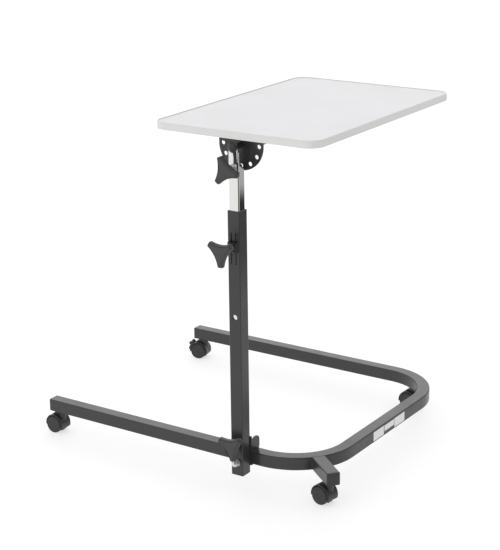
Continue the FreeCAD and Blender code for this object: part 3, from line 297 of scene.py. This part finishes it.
def add_piece(name, bm, place, body, slot, stands_for=(), turn=0.0, sharp=32.0):
    """Put a mesh drawn in millimetres at its place, on its body and with its finish."""
    bm.transform(Matrix.Translation(place) @ Matrix.Rotation(turn, 4, "Z") @ Matrix.Scale(MM, 4))
    mesh = bpy.data.meshes.new(name)
    bm.to_mesh(mesh)
    bm.free()
    mesh.polygons.foreach_set("use_smooth", [True] * len(mesh.polygons))
    mesh.set_sharp_from_angle(angle=math.radians(sharp))
    piece = bpy.data.objects.new(name, mesh)
    scene.collection.objects.link(piece)
    paint(piece, slot)
    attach(piece, body)
    if stands_for:
        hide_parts(*stands_for)


def body_with(node):
    """The name of the body that holds a CAD node."""
    bodies = frame["record"]["behaviour"]["bodies"]
    return [name for name, nodes in bodies.items() if node in nodes][0]


def slot_of(node):
    """The record's material slot of a CAD node."""
    return [part["material_slot"] for part in frame["record"]["subparts"] if part["node"] == node][0]


def middle(node):
    """The middle of a CAD node's box."""
    low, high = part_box(node)
    return (Vector(low) + Vector(high)) / 2


def front(node):
    """The middle of the face of a CAD node's box that looks towards -Y."""
    place = middle(node)
    place.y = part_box(node)[0][1]
    return place


def size(node):
    """A CAD node's box along X, Y and Z, in millimetres."""
    low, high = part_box(node)
    return (Vector(high) - Vector(low)) / MM


# ---------------------------------------------------------------- table edge

def edge_band():
    """The extruded edge band: a raised lip with a soft crest, a flat face and a rounded foot."""
    corner = 34.0
    steps = 14
    width, depth, height = size("edge_band")
    profile = ((3.45, 14.9), (3.3, height - 0.7), (2.7, height - 0.1), (2.0, height), (1.1, height - 0.2),
               (0.4, height - 0.8), (0.0, height - 1.7), (0.0, height - 5.0), (0.0, 5.0), (0.0, 1.2),
               (0.35, 0.4), (1.1, 0.0), (2.45, 0.0), (2.45, 13.9))
    rings = []
    for quarter, (sign_x, sign_y) in enumerate(((1, 1), (-1, 1), (-1, -1), (1, -1))):
        for step in range(steps + 1):
            angle = math.pi / 2 * (quarter + step / steps)
            out = Vector((math.cos(angle), math.sin(angle), 0.0))
            hub = Vector((sign_x * (width / 2 - corner), sign_y * (depth / 2 - corner), -height / 2))
            rings.append([hub + out * (corner - inset) + Vector((0.0, 0.0, up)) for inset, up in profile])
    add_piece("edge_moulding", skin(rings, loop=True), middle("edge_band"), body_with("edge_band"),
              "edge_plastic", ("edge_band",), sharp=24.0)


# ---------------------------------------------------------------- knobs and fasteners

def lobe_outline(reach, half_tip, tip_corner, waist, first):
    """A three-armed outline in the XZ plane: blunt arms with round corners and hollow sides.

    Returns (point, outward direction) pairs. first is the angle of the first arm, and waist the
    distance from the middle to the bottom of a hollow.
    """
    third = 2 * math.pi / 3
    tip_swing = math.radians(66.0)
    tip_steps = 4
    side_steps = 16
    points = []
    for arm in range(3):
        heading = first + third * arm
        for side in (-1, 1):
            for step in range(tip_steps + 1):
                swing = tip_swing * ((step - tip_steps) if side < 0 else step) / tip_steps
                across = side * (half_tip - tip_corner) + tip_corner * math.sin(swing)
                along = reach - tip_corner + tip_corner * math.cos(swing)
                points.append((heading, along, across))
        low = Vector((points[-1][1], points[-1][2]))
        root = Vector((waist * math.cos(third / 2), waist * math.sin(third / 2)))
        far = Vector((low.x * math.cos(third) + low.y * math.sin(third),
                      low.x * math.sin(third) - low.y * math.cos(third)))
        bend = root * 2 - (low + far) / 2
        for step in range(1, side_steps):
            share = step / side_steps
            where = low * (1 - share) ** 2 + bend * (2 * share * (1 - share)) + far * share ** 2
            points.append((heading, where.x, where.y))
    flat = [Vector((along * math.cos(heading) - across * math.sin(heading),
                    along * math.sin(heading) + across * math.cos(heading)))
            for heading, along, across in points]
    outward = []
    for index, here in enumerate(flat):
        tangent = flat[(index + 1) % len(flat)] - flat[index - 1]
        outward.append(Vector((tangent.y, -tangent.x)).normalized())
    return list(zip(flat, outward))


def knob(node, first):
    """A moulded three-armed knob: soft edges, a raised panel with a groove round it, and a neck."""
    outline = lobe_outline(reach=33.2, half_tip=6.6, tip_corner=3.2, waist=16.6, first=math.radians(first))
    half = 7.0
    profile = ((3.0, half - 0.9), (2.6, half - 0.3), (1.6, half - 0.9), (0.5, half - 2.3), (0.0, half - 4.2),
               (0.0, 4.2 - half), (0.5, 2.3 - half), (1.6, 0.9 - half), (2.6, 0.3 - half), (2.9, 0.3 - half),
               (3.1, 0.8 - half), (3.4, 0.8 - half), (3.7, 0.2 - half))
    rings = [[Vector((here.x - out.x * inset, along, here.y - out.y * inset)) for here, out in outline]
             for inset, along in profile]
    bm = skin(rings)
    neck = ((half - 1.2, 12.2), (half + 1.2, 10.8), (half + 5.2, 10.0), (half + 6.0, 9.2),
            (half + 6.0, 5.1), (half + 1.0, 5.1))
    skin([circle(along, radius) for along, radius in neck], into=bm)
    place = middle(node + "_stud")
    place.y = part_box(node)[0][1] + half * MM
    add_piece(node + "_grip", bm, place, body_with(node), "knob_plastic", (node,), sharp=40.0)


def stud(node, tip_length=0.0):
    """A threaded stud along Y with a bevelled start, and a plain tip where it has one."""
    radius = size(node).x / 2
    length = size(node).y
    pitch = 1.5
    depth = 0.8
    rows_per_turn = 10
    tip_radius = 4.0
    tip_bevel = 1.2
    threaded = length - tip_length
    rings = []
    for row in range(int(threaded / pitch * rows_per_turn) + 1):
        along = row * pitch / rows_per_turn
        ends = min(1.0, along / pitch, (threaded - along) / pitch)

        def flank(angle, along=along, ends=ends):
            wave = abs(((along / pitch - angle / (2 * math.pi)) % 1.0) * 2 - 1)
            return radius - depth + depth * wave * max(0.0, ends)
        rings.append(circle(along, flank, 32))
    if tip_length:
        for along, reach in ((threaded, tip_radius), (length - tip_bevel, tip_radius),
                             (length, tip_radius - tip_bevel)):
            rings.append(circle(along, reach, 32))
    add_piece(node + "_thread", skin(rings), front(node), body_with(node), "zinc_steel", (node,))


def hexagon(flats, limit):
    """A hexagon's radius by angle, cut back to a circle where a bevel says so."""
    def reach(angle):
        turned = (angle % (math.pi / 3)) - math.pi / 6
        return min(flats / 2 / math.cos(turned), limit)
    return reach


def plain_nut(node, bore):
    """A hexagon nut along Y with bevelled corners and a countersunk bore."""
    flats = size(node).z
    thick = size(node).y
    corner = flats / 2 / math.cos(math.pi / 6)
    face = flats / 2 * 0.98
    bevel = 1.0
    sink = 0.7
    rings = [circle(0.0, bore + sink), circle(0.0, hexagon(flats, face)),
             circle(bevel, hexagon(flats, corner)), circle(thick - bevel, hexagon(flats, corner)),
             circle(thick, hexagon(flats, face)), circle(thick, bore + sink),
             circle(thick - sink, bore), circle(sink, bore)]
    add_piece(node + "_hex", skin(rings, loop=True), front(node), body_with(node), slot_of(node), (node,))


def acorn_nut():
    """The domed nut: a bevelled hexagon, a neck and a ball end towards the front."""
    node = "acorn_nut"
    flats = size(node).z
    corner = flats / 2 / math.cos(math.pi / 6)
    bore = 4.2
    base = 6.5
    neck = 1.5
    ball = flats / 2 - 0.4
    rings = [circle(0.0, bore), circle(0.0, hexagon(flats, flats / 2)), circle(-0.8, hexagon(flats, corner)),
             circle(0.9 - base, hexagon(flats, corner)), circle(-base, hexagon(flats, flats / 2)),
             circle(-base - 0.1, ball), circle(-base - neck, ball)]
    for step in range(1, 13):
        rise = math.pi / 2 * step / 12.2
        rings.append(circle(-base - neck - ball * math.sin(rise), ball * math.cos(rise)))
    place = middle(node)
    place.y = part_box(node)[1][1]
    add_piece("acorn_nut_cap", skin(rings), place, body_with(node), "zinc_steel", (node,))


def screws():
    """Six pan heads under the mounting plate, each with a cross recess."""
    low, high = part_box("mounting_screws")
    radius = 4.5
    thick = 2.5
    recess_depth = 1.3
    recess_reach = 2.6
    recess_half_width = 0.55
    count = 72
    steps = 24
    bm = bmesh.new()
    for x in (low[0] + radius * MM, high[0] - radius * MM):
        for y in (low[1] + radius * MM, (low[1] + high[1]) / 2, high[1] - radius * MM):
            centre = Vector((x - low[0], y - low[1], 0.0)) / MM
            rings = []
            for step in range(steps):
                rise = math.pi / 2 * step / steps
                across = radius * math.cos(rise)
                ring = []
                for index in range(count):
                    angle = 2 * math.pi * index / count
                    px = across * math.cos(angle)
                    py = across * math.sin(angle)
                    in_cross = min(abs(px), abs(py)) < recess_half_width and across < recess_reach
                    recess = recess_depth if in_cross else 0.0
                    ring.append(centre + Vector((px, py, thick * (1 - math.sin(rise)) + recess)))
                rings.append(ring)
            skin(rings, into=bm)
    add_piece("mounting_screw_heads", bm, Vector(low), body_with("mounting_screws"), "zinc_steel",
              ("mounting_screws",), sharp=40.0)


# ---------------------------------------------------------------- casters and welds

def wheel(node, joint):
    """A caster wheel: a crowned tread, rounded shoulders and a face with a ring and a hub cap."""
    axis = Vector(joint["axis"])
    turn = math.atan2(-axis.x, axis.y)
    radius = size(node).z / 2
    half = 6.95
    outer = -1 if node.endswith("front") else 1
    profile = ((-half, 3.2), (-half, radius - 2.2), (0.9 - half, radius - 0.8), (2.2 - half, radius - 0.15),
               (-1.0, radius), (1.0, radius), (half - 2.2, radius - 0.15), (half - 0.9, radius - 0.7),
               (half - 0.15, radius - 1.7), (half, radius - 2.6), (half, radius - 4.0),
               (half - 0.45, radius - 4.5), (half - 0.45, radius - 5.1), (half, radius - 5.6), (half, 6.0),
               (half - 0.5, 5.5), (half - 0.5, 4.9), (half - 0.1, 4.3), (half, 2.0), (half, 0.4))
    rings = [circle(along * outer, reach, 72) for along, reach in profile]
    add_piece(node + "_tyre", skin(rings), middle(node), body_with(node), "wheel_plastic", (node,),
              turn=turn, sharp=28.0)


def bead(name, start, end, radius, body):
    """A straight weld bead with ripples, half sunk in the corner that it fills."""
    ripple_height = 0.16
    ripple_length = 1.9
    thinnest = 0.04
    length = (end - start).length / MM
    rows = int(length * 2)
    rings = []
    for row in range(rows + 1):
        along = length * row / rows
        ripple = ripple_height * math.sin(2 * math.pi * along / ripple_length)
        taper = math.sqrt(max(thinnest, min(1.0, along / radius, (length - along) / radius)))
        rings.append(circle(along, radius * (taper + ripple * taper / radius), 14))
    bm = skin(rings)
    aim = (end - start).to_track_quat("Y", "Z")
    bm.transform(aim.to_matrix().to_4x4())
    add_piece(name, bm, start, body, "black_frame", sharp=60.0)


def welds():
    """Beads where the outrigger, the bracket and the clamp bridge are welded on."""
    bracket_low, bracket_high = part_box("mast_bracket")
    bridge_low, bridge_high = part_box("clamp_bridge")
    base_low, base_top = [corner[2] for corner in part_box("base_frame")]
    for word, x in (("left", bracket_low[0]), ("right", bracket_high[0])):
        bead("bracket_weld_" + word, Vector((x, LEG_Y + 1.5 * MM, base_top)),
             Vector((x, bracket_high[1] - 4.5 * MM, base_top)), 1.5, "base")
    for word, x in (("left", bridge_low[0]), ("right", bridge_high[0])):
        bead("bridge_weld_" + word, Vector((x, bridge_high[1], bridge_low[2])),
             Vector((x, bridge_high[1], bridge_high[2])), 1.2, "base")
    angle = math.radians(38.5)
    half_tube = 15.0
    bend = 150.0
    bend_x = 37.0
    reach = math.sqrt(bend ** 2 - half_tube ** 2)
    for word, side in (("front", -half_tube), ("rear", half_tube)):
        x = bend_x + reach * math.cos(angle) + side * math.sin(angle)
        y = bend - reach * math.sin(angle) + side * math.cos(angle)
        foot = spot(x, y, 0.0)
        bead("outrigger_weld_" + word, Vector((foot.x, foot.y, base_low + MM)),
             Vector((foot.x, foot.y, base_top - MM)), 2.0, "base")


def build_pieces():
    """Every piece that takes the place of a plain CAD node or adds to one."""
    large_bore = 5.05
    small_bore = 4.05
    edge_band()
    for node, first in (("mast_knob", 40.0), ("height_knob", 31.0), ("tilt_knob", 112.0)):
        knob(node, first)
    stud("mast_knob_stud")
    stud("height_knob_stud")
    stud("tilt_knob_stud", tip_length=10.5)
    for node in ("bracket_weld_nut", "clamp_nut", "tilt_nut"):
        plain_nut(node, large_bore)
    plain_nut("pivot_nut", small_bore)
    acorn_nut()
    screws()
    for joint in frame["record"]["behaviour"]["joints"]:
        if joint["name"].endswith("_spin"):
            wheel(joint["name"].removesuffix("_spin"), joint)
    welds()


# ---------------------------------------------------------------- stage

def make_sky():
    """An even white sky, brighter low down behind the table and dimmer at its right.

    Each patch has a direction, the cosine at its edge, and what it adds to an even strength.
    """
    patches = (((-0.50, 0.80, 0.32), 0.68, 0.62), ((0.95, 0.10, 0.20), 0.35, -0.55))
    even = 1.0
    world = bpy.data.worlds.new("studio")
    world.use_nodes = True
    tree = world.node_tree
    background = tree.nodes["Background"]
    background.inputs["Color"].default_value = WHITE
    place = tree.nodes.new("ShaderNodeTexCoord")
    total = None
    for direction, edge, gain in patches:
        dot = tree.nodes.new("ShaderNodeVectorMath")
        dot.operation = "DOT_PRODUCT"
        dot.inputs[1].default_value = Vector(direction).normalized()
        tree.links.new(place.outputs["Generated"], dot.inputs[0])
        ramp = tree.nodes.new("ShaderNodeMapRange")
        ramp.interpolation_type = "SMOOTHSTEP"
        ramp.inputs["From Min"].default_value = edge
        ramp.inputs["From Max"].default_value = 0.95
        ramp.inputs["To Min"].default_value = 0.0
        ramp.inputs["To Max"].default_value = gain
        tree.links.new(dot.outputs["Value"], ramp.inputs["Value"])
        add = tree.nodes.new("ShaderNodeMath")
        add.operation = "ADD"
        add.inputs[1].default_value = even
        tree.links.new(ramp.outputs["Result"], add.inputs[0])
        if total is not None:
            tree.links.new(total, add.inputs[1])
        total = add.outputs["Value"]
    tree.links.new(total, background.inputs["Strength"])
    scene.world = world


def curved_wall(name, centre_x, distance, height, angles, closed, unseen_by):
    """An upright curved sheet on the floor, round a point of the X axis, hidden from some rays."""
    bm = bmesh.new()
    columns = []
    for angle in angles:
        foot = Vector((centre_x + distance * math.cos(angle), distance * math.sin(angle), 0.0))
        columns.append((bm.verts.new(foot), bm.verts.new(foot + Vector((0.0, 0.0, height)))))
    pairs = list(zip(columns, columns[1:]))
    if closed:
        pairs.append((columns[-1], columns[0]))
    for here, beside in pairs:
        bm.faces.new((here[0], beside[0], beside[1], here[1]))
    mesh = bpy.data.meshes.new(name)
    bm.to_mesh(mesh)
    bm.free()
    wall = bpy.data.objects.new(name, mesh)
    scene.collection.objects.link(wall)
    for ray in (*unseen_by, "diffuse", "transmission", "volume_scatter", "shadow"):
        setattr(wall, "visible_" + ray, False)
    return wall


def dark_card(name, first, last, height, top_glow):
    """A curved black card that only reflections see, between two compass angles round the mast.

    It starts to glow a little under its middle, and glows by top_glow a little above it.
    """
    distance = 1.4
    steps = 12
    angles = [math.radians(first + (last - first) * step / steps) for step in range(steps + 1)]
    card = curved_wall(name, MAST_X, distance, height, angles, closed=False, unseen_by=("camera",))
    material, shader = new_material(name, (0.01, 0.01, 0.01), 0.9)
    shader.inputs["Emission Color"].default_value = WHITE
    split = material.node_tree.nodes.new("ShaderNodeSeparateXYZ")
    place = material.node_tree.nodes.new("ShaderNodeTexCoord")
    material.node_tree.links.new(place.outputs["Object"], split.inputs[0])
    glow = spread(material, split.outputs["Z"], 0.0, top_glow, height * 0.47, height * 0.57)
    link(material, glow, shader, "Emission Strength")
    card.data.materials.append(material)


def backdrop():
    """A round white wall far behind everything, which only the camera sees."""
    steps = 96
    angles = [2 * math.pi * step / steps for step in range(steps)]
    wall = curved_wall("backdrop", 0.0, 15.0, 14.0, angles, closed=True, unseen_by=("glossy",))
    material, shader = new_material("backdrop", (0.0, 0.0, 0.0), 1.0)
    shader.inputs["Emission Color"].default_value = WHITE
    shader.inputs["Emission Strength"].default_value = 1.05
    wall.data.materials.append(material)


def make_stage():
    """A pale, faintly glowing floor, a white backdrop, a soft sky and two dark cards for the metal."""
    bpy.ops.mesh.primitive_plane_add(size=40.0, location=(0.0, 0.0, 0.0))
    floor = bpy.context.active_object
    floor.name = "floor"
    material, shader = new_material("floor", (0.4, 0.4, 0.4), 0.7)
    shader.inputs["Specular IOR Level"].default_value = 0.2
    shader.inputs["Emission Color"].default_value = WHITE
    shader.inputs["Emission Strength"].default_value = 0.64
    floor.data.materials.append(material)
    make_sky()
    backdrop()
    dark_card("card_front_right", first=-62.0, last=-10.0, height=1.2, top_glow=0.0)
    dark_card("card_back_right", first=14.0, last=84.0, height=0.5, top_glow=0.45)
    scene.view_settings.view_transform = "Standard"


make_camera()
make_stage()
paint_cad_nodes()
build_pieces()
